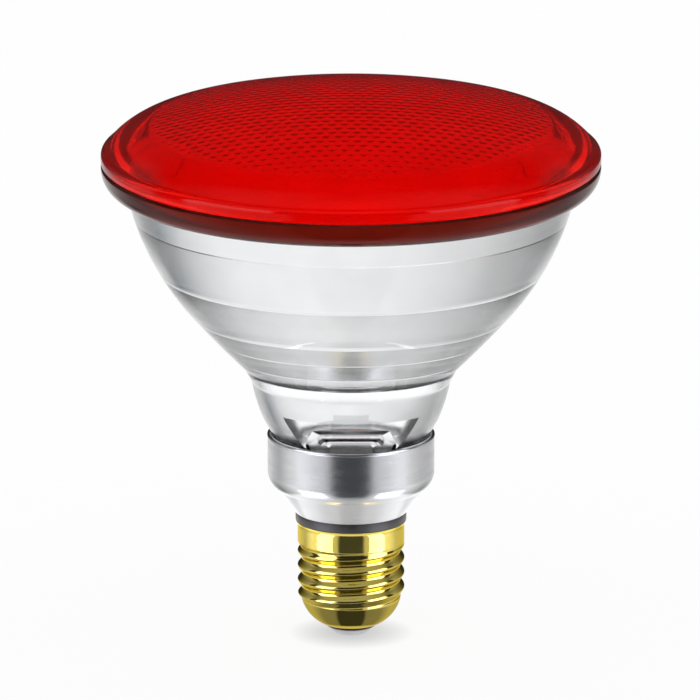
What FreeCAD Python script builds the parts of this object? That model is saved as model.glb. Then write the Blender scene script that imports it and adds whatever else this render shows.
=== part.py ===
import FreeCAD, Part
import math
import os

# Infrared heat lamp with a reflector bulb: a red pressed-glass lens sealed on a
# pressed-glass bowl with a mirrored inside, and a skirted screw base.
# Millimetres. The lamp's axis is Z. The centre contact's flat end is at z = 0 and
# the lens is on top. The front of the lamp looks towards -Y.

# Centre contact and its solder
solder_flat_r = 1.7
solder_r = 2.6
solder_height = 0.4
solder_bulge_radius = 1.3
contact_flat_r = 4.0
contact_rim_r = 5.2
contact_height = 1.5
contact_sheet = 0.4
contact_hole_r = 0.9
contact_bulge_radius = 2.5
contact_flat_inset = 0.25
contact_rim_inset = 0.5

# Black glass insulator in the end of the screw shell
insulator_lip_height = 0.6
insulator_lip_r = 5.8
insulator_lip_radius = 1.2
insulator_depth = 4.2

# Brass screw shell: thread of seven turns to the inch, rolled in thin sheet
brass_sheet = 0.3
shell_mouth_r = 6.3
shell_cone_height = 6.3
shell_cone_radius = 9.4
thread_root_r = 12.1
thread_crest_r = 13.1
thread_pitch = 25.4 / 7
thread_length = 15.0
thread_fade = 1.9
thread_crest_z = 15.6
shell_band_height = 3.6
shell_flare_height = 1.4
shell_flare_r = 13.5
shell_columns = 20
shell_row_step = 0.45

# Insulating ring between screw shell and skirt
ring_r = 13.6
ring_height = 2.4
ring_hole_r = 9.0
ring_spigot_height = 2.0
ring_edge_round = 0.35

# Aluminium skirt, drawn from sheet
skirt_sheet = 0.4
skirt_foot_r = 13.7
skirt_foot_hole_r = 11.0
skirt_crease_r = 18.2
skirt_cone_height = 6.2
skirt_shoulder_height = 3.6
skirt_shoulder_radius = 5.2
skirt_r = 20.3
skirt_cylinder_height = 10.0
skirt_lip_height = 0.9
skirt_lip_radius = 0.56

# Glass neck of the reflector
neck_foot_r = 19.4
neck_foot_round = 2.4
neck_foot_ring = 3.4
neck_foot_recess = 1.6
neck_foot_above_crease = 3.2
neck_floor = 4.0
neck_wall = 3.4
neck_bore_r = 15.4
neck_bore_round = 2.0
neck_flat_y = 12.4
neck_flat_above_throat = 5.4
neck_throat_r = 21.5
neck_throat_above_skirt = 4.0
neck_flare_height = 9.6
neck_flare_radius = 40.0
collar_r = 24.4
collar_height = 3.5
collar_draft = 0.1

# Moulded pocket in the front and in the back of the neck, with its boss and the dent in the boss
pocket_depth = 5.9
pocket_half_width = 10.3
pocket_top_above_skirt = 3.5
pocket_below_skirt = 4.4
pocket_corner = 2.6
pocket_draft = 0.6
pocket_side_draft = 1.1
pocket_lean = 0.18
pocket_overreach = 2.4
boss_half_width = 8.0
boss_rise = 1.8
boss_top_above_skirt = 2.7
boss_corner = 1.0
boss_bevel = 0.5
boss_root = 1.0
dent_half_width = 5.4
dent_depth = 0.9
dent_top_above_skirt = 1.5

# Bowl: outer face in two arcs, mirrored inner face in rings with a step between them
bowl_foot_r = 26.3
bowl_height = 44.6
bowl_waist_r = 41.4
bowl_waist_height = 16.2
bowl_low_radius = 240.0
bowl_high_radius = 70.0
bowl_top_r = 55.0
bowl_wall = 3.2
ring_step = 0.15
ring_step_rise = 0.3
ring_flatness = 0.5
ring_levels = (0.09, 0.2, 0.316, 0.556, 0.85)

# Rim flange of the bowl
flange_height = 6.2
flange_ledge_width = 2.6
flange_edge_radius = 5.6
rim_overhang = 6.0
seam_bevel = 0.6

# Red lens
lens_wall_height = 2.2
lens_edge_setback = 1.0
lens_edge_height = 1.4
lens_edge_radius = 1.5
lens_shoulder_height = 6.3
lens_shoulder_radius = 19.0
lens_dome_setback = 10.6
lens_dome_radius = 195.0
lens_glass = 3.6
lens_inner_corner_inset = 1.1
lens_inner_corner_height = 2.6

# Lead-through ferrules, posts and filament
post_spacing = 16.0
post_r = 0.75
post_rise_over_coil = 1.0
ferrule_r = 2.5
ferrule_wall = 0.4
ferrule_flange_r = 3.5
ferrule_flange = 0.5
ferrule_depth = 4.0
ferrule_seat = 2.6
post_tail = 1.2
exhaust_r = 1.9
exhaust_wall = 0.6
exhaust_tip = 5.0
exhaust_tip_radius = 2.5
exhaust_end_r = 0.5
focus_above_bowl_foot = 5.0
coil_r = 1.1
coil_wire_r = 0.16
coil_turns = 9
coil_length = 10.8
coil_pole_count = 8
coil_wire_columns = 6
bead_r = 1.6
bead_overhang = 1.4
bead_below_coil = 7.0
support_wire_r = 0.22

# Lead wires in the base
lead_r = 0.4
lead_bend = 2.4
shell_lead_end = 6.5
shell_lead_lap = 4.0
fuse_sleeve_r = 1.5
fuse_sleeve_wall = 0.6
fuse_sleeve_length = 11.0
lead_run_below_post = 4.0

# Clearances
seal_gap = 0.05
cement_gap = 0.05
cement_height = 3.0
spigot_gap = 0.2
eye_gap = 0.2
overcut = 1.0

# Levels along the axis, from the contact up
contact_z = solder_height
insulator_z = contact_z + contact_height
shell_z = insulator_z + insulator_lip_height
thread_z = shell_z + shell_cone_height
band_z = thread_z + thread_length
flare_z = band_z + shell_band_height
ring_z = flare_z + shell_flare_height
skirt_z = ring_z + ring_height
crease_z = skirt_z + skirt_cone_height
shoulder_z = crease_z + skirt_shoulder_height
skirt_top_z = shoulder_z + skirt_cylinder_height
neck_foot_z = crease_z + neck_foot_above_crease
floor_under_z = neck_foot_z + neck_foot_recess
floor_z = floor_under_z + neck_floor
throat_z = skirt_top_z + neck_throat_above_skirt
neck_flat_z = throat_z + neck_flat_above_throat
collar_z = throat_z + neck_flare_height
bowl_z = collar_z + collar_height
waist_z = bowl_z + bowl_waist_height
flange_z = bowl_z + bowl_height
seam_z = flange_z + flange_height
lens_wall_z = seam_z + lens_wall_height
lens_edge_z = lens_wall_z + lens_edge_height
lens_dome_z = lens_edge_z + lens_shoulder_height
coil_z = bowl_z + focus_above_bowl_foot

# Sizes that follow from others
post_x = post_spacing / 2
flange_ledge_r = bowl_top_r + flange_ledge_width
rim_r = bowl_top_r + rim_overhang
rim_bore_r = bowl_top_r
lens_edge_r = rim_r - lens_edge_setback
lens_dome_r = rim_r - lens_dome_setback
lens_inner_corner_r = rim_bore_r - lens_inner_corner_inset
pocket_floor_y = neck_throat_r - pocket_depth

origin = FreeCAD.Vector(0, 0, 0)
up = FreeCAD.Vector(0, 0, 1)


def point(r, z):
    return FreeCAD.Vector(r, 0, z)


def line(start, end):
    return Part.LineSegment(point(*start), point(*end)).toShape()


def bulged(start, end, radius):
    """Arc that bulges to the left of the way from start to end, to the right if radius is negative."""
    dr = end[0] - start[0]
    dz = end[1] - start[1]
    chord = math.hypot(dr, dz)
    size = max(abs(radius), chord / 1.99)
    sagitta = size - math.sqrt(size * size - chord * chord / 4)
    side = math.copysign(sagitta / chord, radius)
    middle = ((start[0] + end[0]) / 2 - dz * side, (start[1] + end[1]) / 2 + dr * side)
    return Part.Arc(point(*start), point(*middle), point(*end)).toShape()


def turned(edges):
    """Solid of revolution about the lamp's axis from a closed outline."""
    face = Part.Face(Part.Wire(Part.__sortEdges__(edges)))
    return face.revolve(origin, up, 360)


def tube(outer_r, inner_r, low, high):
    outer = Part.makeCylinder(outer_r, high - low, FreeCAD.Vector(0, 0, low))
    return outer.cut(Part.makeCylinder(inner_r, high - low, FreeCAD.Vector(0, 0, low)))


def centred_arc_radius(start, end, radius, z, inset=0.0):
    """Radius at height z of an arc with its centre on the axis side, or of one that is inset in it."""
    dr = end[0] - start[0]
    dz = end[1] - start[1]
    chord = math.hypot(dr, dz)
    reach = math.sqrt(radius * radius - chord * chord / 4) / chord
    centre_r = (start[0] + end[0]) / 2 - dz * reach
    centre_z = (start[1] + end[1]) / 2 + dr * reach
    return centre_r + math.sqrt((radius - inset) ** 2 - (z - centre_z) ** 2)


def shell_cone_r(z, inset=0.0):
    """Radius of the screw shell's rounded end, or of what is seated inside it."""
    return centred_arc_radius((shell_mouth_r, shell_z), (thread_root_r, thread_z), shell_cone_radius, z,
                              inset)


def bowl_outer_r(z):
    if z < waist_z:
        return centred_arc_radius((bowl_foot_r, bowl_z), (bowl_waist_r, waist_z), bowl_low_radius, z)
    return centred_arc_radius((bowl_waist_r, waist_z), (bowl_top_r, flange_z), bowl_high_radius, z)


def bowl_inner_r(z, wall):
    """Radius of the mirrored face where the glass is wall thick, measured square to the outer face."""
    probe = 0.2
    slope = (bowl_outer_r(z + probe) - bowl_outer_r(z - probe)) / (2 * probe)
    return bowl_outer_r(z) - wall * math.sqrt(1 + slope * slope)


def mirror_rings():
    """Inner face of the bowl, from foot to flange: one flattened arc a ring and a small step between."""
    levels = [bowl_z] + [bowl_z + share * bowl_height for share in ring_levels] + [flange_z]
    edges = []
    corner = None
    for level, high in zip(levels, levels[1:]):
        low = level + ring_step_rise if corner else level
        middle = (low + high) / 2
        start_r = bowl_inner_r(low, bowl_wall + ring_step)
        end_r = bowl_inner_r(high, bowl_wall)
        curved_r = bowl_inner_r(middle, bowl_wall + ring_step / 2)
        middle_r = curved_r + ((start_r + end_r) / 2 - curved_r) * ring_flatness
        if corner:
            edges.append(line(corner, (start_r, low)))
        edges.append(Part.Arc(point(start_r, low), point(middle_r, middle), point(end_r, high)).toShape())
        corner = (end_r, high)
    foot = (bowl_inner_r(bowl_z, bowl_wall + ring_step), bowl_z)
    return edges, foot, corner


def flange_outline():
    """Outer edge of the rim flange, from the bowl's top to the seam."""
    ledge_start = (bowl_top_r, flange_z)
    ledge_end = (flange_ledge_r, flange_z)
    edge_top = (rim_r, seam_z - seam_bevel)
    seam_point = (rim_r - seam_bevel, seam_z)
    return [line(ledge_start, ledge_end),
            bulged(ledge_end, edge_top, -flange_edge_radius),
            line(edge_top, seam_point),
            line(seam_point, (rim_bore_r, seam_z))]


def neck_outline(mirror_foot):
    """Neck from the bowl's foot down the outside, round the foot ring and up the bore."""
    bowl_foot = (bowl_foot_r, bowl_z)
    collar = (collar_r, collar_z)
    throat = (neck_throat_r, throat_z)
    shank_top = (neck_foot_r, skirt_top_z)
    shank_low = (neck_foot_r, neck_foot_z + neck_foot_round)
    foot_out = (neck_foot_r - neck_foot_round, neck_foot_z)
    foot_in = (neck_foot_r - neck_foot_ring, neck_foot_z)
    recess = (neck_foot_r - neck_foot_ring, floor_under_z)
    floor_corner = (neck_bore_r - neck_bore_round, floor_z)
    bore_low = (neck_bore_r, floor_z + neck_bore_round)
    bore_waist = (neck_foot_r - neck_wall, skirt_top_z)
    bore_throat = (neck_throat_r - neck_wall, throat_z)
    bore_mouth = (mirror_foot[0] - collar_draft, collar_z)
    return [line(bowl_foot, collar),
            bulged(collar, throat, neck_flare_radius),
            line(throat, shank_top),
            line(shank_top, shank_low),
            bulged(shank_low, foot_out, -neck_foot_round),
            line(foot_out, foot_in),
            line(foot_in, recess),
            line(recess, (0, floor_under_z)),
            line((0, floor_under_z), (0, floor_z)),
            line((0, floor_z), floor_corner),
            bulged(floor_corner, bore_low, -neck_bore_round),
            line(bore_low, bore_waist),
            line(bore_waist, bore_throat),
            bulged(bore_throat, bore_mouth, neck_wall - neck_flare_radius),
            line(bore_mouth, mirror_foot)]


def bore_flats():
    """Glass behind the two pockets, which makes the bore flat there."""
    half = neck_wall / 2
    low = floor_z - half
    waist = (neck_foot_r - half, skirt_top_z)
    throat = (neck_throat_r - half, throat_z)
    top = (neck_throat_r - half, neck_flat_z)
    core = turned([line((0, low), (neck_bore_r + half, low)),
                   line((neck_bore_r + half, low), waist),
                   line(waist, throat),
                   line(throat, top),
                   line(top, (0, neck_flat_z)),
                   line((0, neck_flat_z), (0, low))])
    slot = Part.makeBox(4 * neck_throat_r, 2 * neck_flat_y, neck_flat_z,
                        FreeCAD.Vector(-2 * neck_throat_r, -neck_flat_y, floor_under_z))
    return core.cut(slot)


def framed(half_width, low, top, corner, depth):
    """Outline with cut upper corners, in a plane that leans outward with height. At the skirt's top the
    plane is depth away from the axis."""
    corners = [(-half_width, low), (half_width, low), (half_width, top - corner),
               (half_width - corner, top), (corner - half_width, top), (-half_width, top - corner)]
    return Part.makePolygon([FreeCAD.Vector(x, -depth - pocket_lean * (z - skirt_top_z), z)
                             for x, z in corners + corners[:1]])


def pocket_cutter():
    """Space of the front pocket, with its boss left standing and the dent in the boss's face."""
    reach = pocket_depth + pocket_overreach
    spread = reach * pocket_draft
    side_spread = reach * pocket_side_draft
    low = skirt_top_z - pocket_below_skirt
    top = skirt_top_z + pocket_top_above_skirt
    space = Part.makeLoft([framed(pocket_half_width, low, top, pocket_corner, pocket_floor_y),
                           framed(pocket_half_width + side_spread, low - spread, top + spread,
                                  pocket_corner + spread, pocket_floor_y + reach)], True, True)
    face = pocket_floor_y + boss_rise
    boss_low = low - 2 * spread
    boss_top = skirt_top_z + boss_top_above_skirt
    root = pocket_floor_y - boss_root
    boss = Part.makeLoft([framed(boss_half_width, boss_low, boss_top, boss_corner, root),
                          framed(boss_half_width, boss_low, boss_top, boss_corner, face - boss_bevel),
                          framed(boss_half_width - boss_bevel, boss_low, boss_top - boss_bevel, boss_corner,
                                 face)], True, True)
    dent_top = skirt_top_z + dent_top_above_skirt
    dent = Part.makeLoft([framed(dent_half_width, low, dent_top, boss_corner, face - dent_depth),
                          framed(dent_half_width + dent_depth, low, dent_top + dent_depth, boss_corner,
                                 face)], True, True)
    return space.cut(boss).fuse(dent)


def make_reflector():
    rings, foot, top = mirror_rings()
    edges = [bulged((bowl_foot_r, bowl_z), (bowl_waist_r, waist_z), -bowl_low_radius),
             bulged((bowl_waist_r, waist_z), (bowl_top_r, flange_z), -bowl_high_radius)]
    edges += flange_outline() + [line((rim_bore_r, seam_z), top)] + rings + neck_outline(foot)
    body = turned(edges).fuse(bore_flats())
    pocket = pocket_cutter()
    body = body.cut(pocket)
    pocket.rotate(origin, up, 180)
    body = body.cut(pocket)
    hole_low = floor_under_z - overcut
    for x, r in ((-post_x, ferrule_r), (post_x, ferrule_r), (0, exhaust_r)):
        hole = Part.makeCylinder(r + seal_gap, neck_floor + 2 * overcut, FreeCAD.Vector(x, 0, hole_low))
        body = body.cut(hole)
    return body


def make_front_lens():
    inner_radius = lens_dome_radius - lens_glass
    rise = lens_dome_radius - math.sqrt(lens_dome_radius ** 2 - lens_dome_r ** 2)
    apex = lens_dome_z + rise
    centre = apex - lens_dome_radius
    inner_apex = apex - lens_glass
    inner_r = lens_dome_r - lens_glass / 2
    inner_z = centre + math.sqrt(inner_radius ** 2 - inner_r ** 2)
    seam_point = (rim_r - seam_bevel, seam_z)
    wall_low = (rim_r, seam_z + seam_bevel)
    wall_high = (rim_r, lens_wall_z)
    edge = (lens_edge_r, lens_edge_z)
    shoulder = (lens_dome_r, lens_dome_z)
    inner_corner = (lens_inner_corner_r, seam_z + lens_inner_corner_height)
    return turned([line((rim_bore_r, seam_z), seam_point),
                   line(seam_point, wall_low),
                   line(wall_low, wall_high),
                   bulged(wall_high, edge, -lens_edge_radius),
                   bulged(edge, shoulder, -lens_shoulder_radius),
                   bulged(shoulder, (0, apex), -lens_dome_radius),
                   line((0, apex), (0, inner_apex)),
                   bulged((0, inner_apex), (inner_r, inner_z), inner_radius),
                   bulged((inner_r, inner_z), inner_corner, lens_shoulder_radius),
                   line(inner_corner, (rim_bore_r, seam_z))])


def smooth_step(value):
    share = min(max(value, 0.0), 1.0)
    return share * share * (3 - 2 * share)


def shell_outer_r(z, angle):
    """Radius of the screw shell's outer face: rounded end, right-handed thread, plain band and flare."""
    if z < thread_z:
        return shell_cone_r(z)
    if z > flare_z:
        return thread_crest_r + (shell_flare_r - thread_crest_r) * ((z - flare_z) / shell_flare_height) ** 2
    wave = 0.5 + 0.5 * math.cos(2 * math.pi * (z - thread_crest_z) / thread_pitch - angle)
    wave *= smooth_step((z - thread_z) / thread_fade)
    wave = 1 - (1 - wave) * smooth_step((band_z - z) / thread_fade)
    return thread_root_r + (thread_crest_r - thread_root_r) * wave


def shell_inner_r(z, angle):
    probe = 0.05
    slope = (shell_outer_r(z + probe, angle) - shell_outer_r(z - probe, angle)) / (2 * probe)
    return shell_outer_r(z, angle) - brass_sheet * math.sqrt(1 + slope * slope)


def lengthwise_places(spans):
    """Places of the pole rows that spread evenly over a clamped cubic surface of so many spans."""
    knots = [0, 0, 0] + list(range(spans + 1)) + [spans, spans, spans]
    return [sum(knots[row + 1:row + 4]) / 3 for row in range(spans + 3)]


def closed_surface(columns, spans, pole_at):
    """Smooth surface closed all the way round, from the pole of each column and lengthwise place."""
    poles = [[pole_at(column, place) for place in lengthwise_places(spans)] for column in range(columns)]
    surface = Part.BSplineSurface()
    surface.buildFromPolesMultsKnots(poles, [1] * (columns + 1), [4] + [1] * (spans - 1) + [4],
                                     list(range(columns + 1)), list(range(spans + 1)),
                                     True, False, 3, 3)
    return surface


def pole_gain(columns):
    """How much further out than the surface its poles stand, for so many columns a turn."""
    return 3 / (2 + math.cos(2 * math.pi / columns))


def rolled_surface(radius_at):
    """Smooth closed surface about the axis, with the radius given by height and angle."""
    spans = round((ring_z - shell_z) / shell_row_step)
    step = (ring_z - shell_z) / spans

    def pole_at(column, place):
        angle = 2 * math.pi * column / shell_columns
        z = shell_z + step * place
        r = radius_at(z, angle) * pole_gain(shell_columns)
        return FreeCAD.Vector(r * math.cos(angle), r * math.sin(angle), z)

    return closed_surface(shell_columns, spans, pole_at)


def sewn_solid(faces):
    shell = Part.makeShell(faces)
    shell.sewShape()
    solid = Part.makeSolid(shell)
    if solid.Volume < 0:
        solid.reverse()
    return solid


def make_screw_shell():
    outer = rolled_surface(shell_outer_r)
    inner = rolled_surface(shell_inner_r)
    faces = [outer.toShape(), inner.toShape()]
    for height in (outer.bounds()[2], outer.bounds()[3]):
        faces.append(Part.makeRuledSurface(outer.vIso(height).toShape(), inner.vIso(height).toShape()))
    return sewn_solid(faces)


def make_base_insulator():
    inset = brass_sheet + seal_gap
    seat_z = shell_z - seal_gap
    top_z = shell_z + insulator_depth
    hole = lead_r + seal_gap
    lip = (insulator_lip_r, insulator_z)
    seat = (shell_mouth_r, seat_z)
    mouth = (shell_cone_r(seat_z, inset), seat_z)
    top = (shell_cone_r(top_z, inset), top_z)
    return turned([line((hole, insulator_z), lip),
                   bulged(lip, seat, -insulator_lip_radius),
                   line(seat, mouth),
                   bulged(mouth, top, inset - shell_cone_radius),
                   line(top, (hole, top_z)),
                   line((hole, top_z), (hole, insulator_z))])


def make_centre_contact():
    inner_flat = contact_flat_r - contact_flat_inset
    inner_rim = contact_rim_r - contact_rim_inset
    return turned([line((contact_hole_r, contact_z), (contact_flat_r, contact_z)),
                   bulged((contact_flat_r, contact_z), (contact_rim_r, insulator_z), -contact_bulge_radius),
                   line((contact_rim_r, insulator_z), (inner_rim, insulator_z)),
                   line((inner_rim, insulator_z), (inner_flat, contact_z + contact_sheet)),
                   line((inner_flat, contact_z + contact_sheet), (contact_hole_r, contact_z + contact_sheet)),
                   line((contact_hole_r, contact_z + contact_sheet), (contact_hole_r, contact_z))])


def make_contact_solder():
    plug_r = contact_hole_r - seal_gap
    plug_z = contact_z + contact_sheet
    return turned([line((0, 0), (solder_flat_r, 0)),
                   bulged((solder_flat_r, 0), (solder_r, contact_z), -solder_bulge_radius),
                   line((solder_r, contact_z), (plug_r, contact_z)),
                   line((plug_r, contact_z), (plug_r, plug_z)),
                   line((plug_r, plug_z), (0, plug_z)),
                   line((0, plug_z), (0, 0))])


def make_insulating_ring():
    spigot_r = thread_crest_r - brass_sheet - spigot_gap
    collar_low = ring_z + ring_edge_round
    collar_high = skirt_z - ring_edge_round
    body = turned([line((ring_hole_r, ring_z - ring_spigot_height), (spigot_r, ring_z - ring_spigot_height)),
                   line((spigot_r, ring_z - ring_spigot_height), (spigot_r, ring_z)),
                   line((spigot_r, ring_z), (ring_r - ring_edge_round, ring_z)),
                   bulged((ring_r - ring_edge_round, ring_z), (ring_r, collar_low), -ring_edge_round),
                   line((ring_r, collar_low), (ring_r, collar_high)),
                   bulged((ring_r, collar_high), (ring_r - ring_edge_round, skirt_z), -ring_edge_round),
                   line((ring_r - ring_edge_round, skirt_z), (ring_hole_r, skirt_z)),
                   line((ring_hole_r, skirt_z), (ring_hole_r, ring_z - ring_spigot_height))])
    return body


def make_skirt():
    t = skirt_sheet
    cone_slope = (skirt_crease_r - skirt_foot_r) / skirt_cone_height
    cone_t = t * math.sqrt(1 + cone_slope ** 2)
    inner_foot_r = skirt_foot_r - cone_t + t * cone_slope
    outer_foot = (skirt_foot_r, skirt_z)
    crease = (skirt_crease_r, crease_z)
    shoulder = (skirt_r, shoulder_z)
    lip_low = (skirt_r, skirt_top_z - skirt_lip_height)
    lip_top = (skirt_r - t, skirt_top_z)
    inner_shoulder = (skirt_r - t, shoulder_z)
    inner_crease = (skirt_crease_r - cone_t, crease_z)
    inner_foot = (inner_foot_r, skirt_z + t)
    return turned([line((skirt_foot_hole_r, skirt_z), outer_foot),
                   line(outer_foot, crease),
                   bulged(crease, shoulder, -skirt_shoulder_radius),
                   line(shoulder, lip_low),
                   bulged(lip_low, lip_top, -skirt_lip_radius),
                   line(lip_top, inner_shoulder),
                   bulged(inner_shoulder, inner_crease, skirt_shoulder_radius - t),
                   line(inner_crease, inner_foot),
                   line(inner_foot, (skirt_foot_hole_r, skirt_z + t)),
                   line((skirt_foot_hole_r, skirt_z + t), (skirt_foot_hole_r, skirt_z))])


def make_basing_cement():
    low = neck_foot_z + neck_foot_round
    return tube(skirt_r - skirt_sheet - cement_gap, neck_foot_r + cement_gap, low, low + cement_height)


def make_ferrule(x):
    """Metal cup sealed in a hole of the neck's floor, with the post brazed in its bottom."""
    cup_low = floor_under_z - ferrule_depth
    cup = Part.makeCylinder(ferrule_r, ferrule_depth + ferrule_seat, FreeCAD.Vector(x, 0, cup_low))
    flange = Part.makeCylinder(ferrule_flange_r, ferrule_flange,
                               FreeCAD.Vector(x, 0, floor_under_z - ferrule_flange))
    hollow = Part.makeCylinder(ferrule_r - ferrule_wall, ferrule_depth + ferrule_seat,
                               FreeCAD.Vector(x, 0, cup_low + ferrule_wall))
    post_hole = Part.makeCylinder(post_r + seal_gap, ferrule_wall + 2 * overcut,
                                  FreeCAD.Vector(x, 0, cup_low - overcut))
    return cup.fuse(flange).cut(hollow).cut(post_hole).removeSplitter()


def make_post(x):
    low = floor_under_z - ferrule_depth - post_tail
    high = coil_z + coil_r + post_rise_over_coil
    return Part.makeCylinder(post_r, high - low, FreeCAD.Vector(x, 0, low))


def make_exhaust_tube():
    """Glass tube that the bulb was pumped through, open into the neck and melted shut at its tip."""
    low = floor_under_z - exhaust_tip
    bore = exhaust_r - exhaust_wall
    shank = low + exhaust_r
    return turned([line((bore, floor_z), (exhaust_r, floor_z)),
                   line((exhaust_r, floor_z), (exhaust_r, shank)),
                   bulged((exhaust_r, shank), (exhaust_end_r, low), -exhaust_tip_radius),
                   line((exhaust_end_r, low), (0, low)),
                   line((0, low), (0, shank)),
                   line((0, shank), (bore, shank)),
                   line((bore, shank), (bore, floor_z))])


def swept(path, radius, start, direction):
    section = Part.Wire(Part.makeCircle(radius, start, direction))
    return path.makePipeShell([section], True, True)


def make_filament():
    """Coiled tungsten wire across the two posts, with a straight leg at each end."""
    pitch = coil_length / coil_turns
    leg = post_x - post_r - seal_gap - coil_length / 2
    leg_span_count = 2
    coil_spans = round(coil_turns * coil_pole_count)
    spans = coil_spans + 2 * leg_span_count
    climb = math.atan2(pitch, 2 * math.pi * coil_r)

    def pole_at(column, place):
        wound = min(max((place - leg_span_count) / coil_spans, 0.0), 1.0)
        unwound = (place - leg_span_count) / leg_span_count if place < leg_span_count else 0.0
        if place > leg_span_count + coil_spans:
            unwound = (place - leg_span_count - coil_spans) / leg_span_count
        lean = climb if 0 < wound < 1 else math.pi / 2
        turn = 2 * math.pi * coil_turns * wound
        radial = FreeCAD.Vector(0, math.sin(turn), math.cos(turn))
        along = FreeCAD.Vector(1, 0, 0)
        around = along.cross(radial)
        tangent = around * -math.cos(lean) + along * math.sin(lean)
        sideways = tangent.cross(radial)
        clock = 2 * math.pi * column / coil_wire_columns
        centre = radial * (coil_r * pole_gain(coil_pole_count) if 0 < wound < 1 else coil_r)
        centre += along * (coil_length * (wound - 0.5) + leg * unwound)
        ring = radial * math.cos(clock) + sideways * math.sin(clock)
        return centre + ring * (coil_wire_r * pole_gain(coil_wire_columns)) + FreeCAD.Vector(0, 0, coil_z)

    surface = closed_surface(coil_wire_columns, spans, pole_at)
    ends = [Part.Face(Part.Wire(surface.vIso(place).toShape())) for place in surface.bounds()[2:]]
    return sewn_solid([surface.toShape()] + ends)


def make_support_bead():
    """Glass rod that both posts pass through."""
    length = post_spacing + 2 * (post_r + bead_overhang)
    z = coil_z - bead_below_coil
    rod = Part.makeCylinder(bead_r, length, FreeCAD.Vector(-length / 2, 0, z), FreeCAD.Vector(1, 0, 0))
    for x in (-post_x, post_x):
        rod = rod.cut(Part.makeCylinder(post_r + seal_gap, 4 * bead_r, FreeCAD.Vector(x, 0, z - 2 * bead_r)))
    return rod


def make_support_wire():
    """Thin wire that stands on the bead and ends in an eye round the coil's middle."""
    eye_r = coil_r + coil_wire_r + support_wire_r + eye_gap
    low = coil_z - bead_below_coil + bead_r
    stem = Part.makeCylinder(support_wire_r, coil_z - eye_r - low, FreeCAD.Vector(0, 0, low))
    eye = Part.makeTorus(eye_r, support_wire_r, FreeCAD.Vector(0, 0, coil_z), FreeCAD.Vector(1, 0, 0))
    return stem.fuse(eye)


def bent_wire(points, radius, bend):
    """Round wire along straight runs joined by tangent arcs, in the plane y = 0."""
    corners = [point(*place) for place in points]
    edges = []
    run_start = corners[0]
    for before, corner, after in zip(corners, corners[1:], corners[2:]):
        inward = (before - corner).normalize()
        outward = (after - corner).normalize()
        half_turn = (math.pi - inward.getAngle(outward)) / 2
        setback = bend * math.tan(half_turn)
        first = corner + inward * setback
        last = corner + outward * setback
        bisector = (inward + outward).normalize()
        middle = corner + bisector * (bend / math.cos(half_turn) - bend)
        edges.append(Part.LineSegment(run_start, first).toShape())
        edges.append(Part.Arc(first, middle, last).toShape())
        run_start = last
    edges.append(Part.LineSegment(run_start, corners[-1]).toShape())
    return swept(Part.Wire(edges), radius, corners[0], corners[1] - corners[0])


def make_shell_lead():
    """Wire from the left ferrule's post to the inside of the screw shell."""
    start_z = floor_under_z - ferrule_depth - post_tail
    wall_x = thread_root_r - brass_sheet - lead_r - 2 * seal_gap
    low_z = ring_z - ring_spigot_height - shell_lead_end
    return bent_wire([(-post_x, start_z), (-post_x, low_z + lead_bend * 2), (-wall_x, low_z),
                      (-wall_x, low_z - shell_lead_lap)], lead_r, lead_bend)


def make_contact_lead():
    """Wire from the right ferrule's post through the fuse sleeve and the insulator to the contact."""
    start_z = floor_under_z - ferrule_depth - post_tail
    turn_z = start_z - lead_run_below_post
    return bent_wire([(post_x, start_z), (post_x, turn_z), (0, turn_z - post_x),
                      (0, contact_z + contact_sheet)], lead_r, lead_bend)


def make_fuse_sleeve():
    high = floor_under_z - ferrule_depth - post_tail - lead_run_below_post - post_x - lead_bend
    return tube(fuse_sleeve_r, fuse_sleeve_r - fuse_sleeve_wall, high - fuse_sleeve_length, high)


nodes = {
    "front_lens": make_front_lens(),
    "reflector": make_reflector(),
    "filament": make_filament(),
    "left_post": make_post(-post_x),
    "right_post": make_post(post_x),
    "support_bead": make_support_bead(),
    "support_wire": make_support_wire(),
    "left_ferrule": make_ferrule(-post_x),
    "right_ferrule": make_ferrule(post_x),
    "exhaust_tube": make_exhaust_tube(),
    "basing_cement": make_basing_cement(),
    "skirt": make_skirt(),
    "insulating_ring": make_insulating_ring(),
    "screw_shell": make_screw_shell(),
    "base_insulator": make_base_insulator(),
    "centre_contact": make_centre_contact(),
    "contact_solder": make_contact_solder(),
    "shell_lead": make_shell_lead(),
    "contact_lead": make_contact_lead(),
    "fuse_sleeve": make_fuse_sleeve(),
}

os.makedirs("parts", exist_ok=True)
for name, shape in nodes.items():
    shape.exportStep(os.path.join("parts", name + ".step"))
    box = shape.optimalBoundingBox(False)
    print(name, "valid" if shape.isValid() else "NOT VALID", len(shape.Solids), "solid",
          round(shape.Volume / 1000, 3), "cm3", "z", round(box.ZMin, 2), round(box.ZMax, 2))
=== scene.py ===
import math

import bmesh
import bpy
from mathutils import Matrix, Vector, noise
from mathutils.geometry import delaunay_2d_cdt


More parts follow.
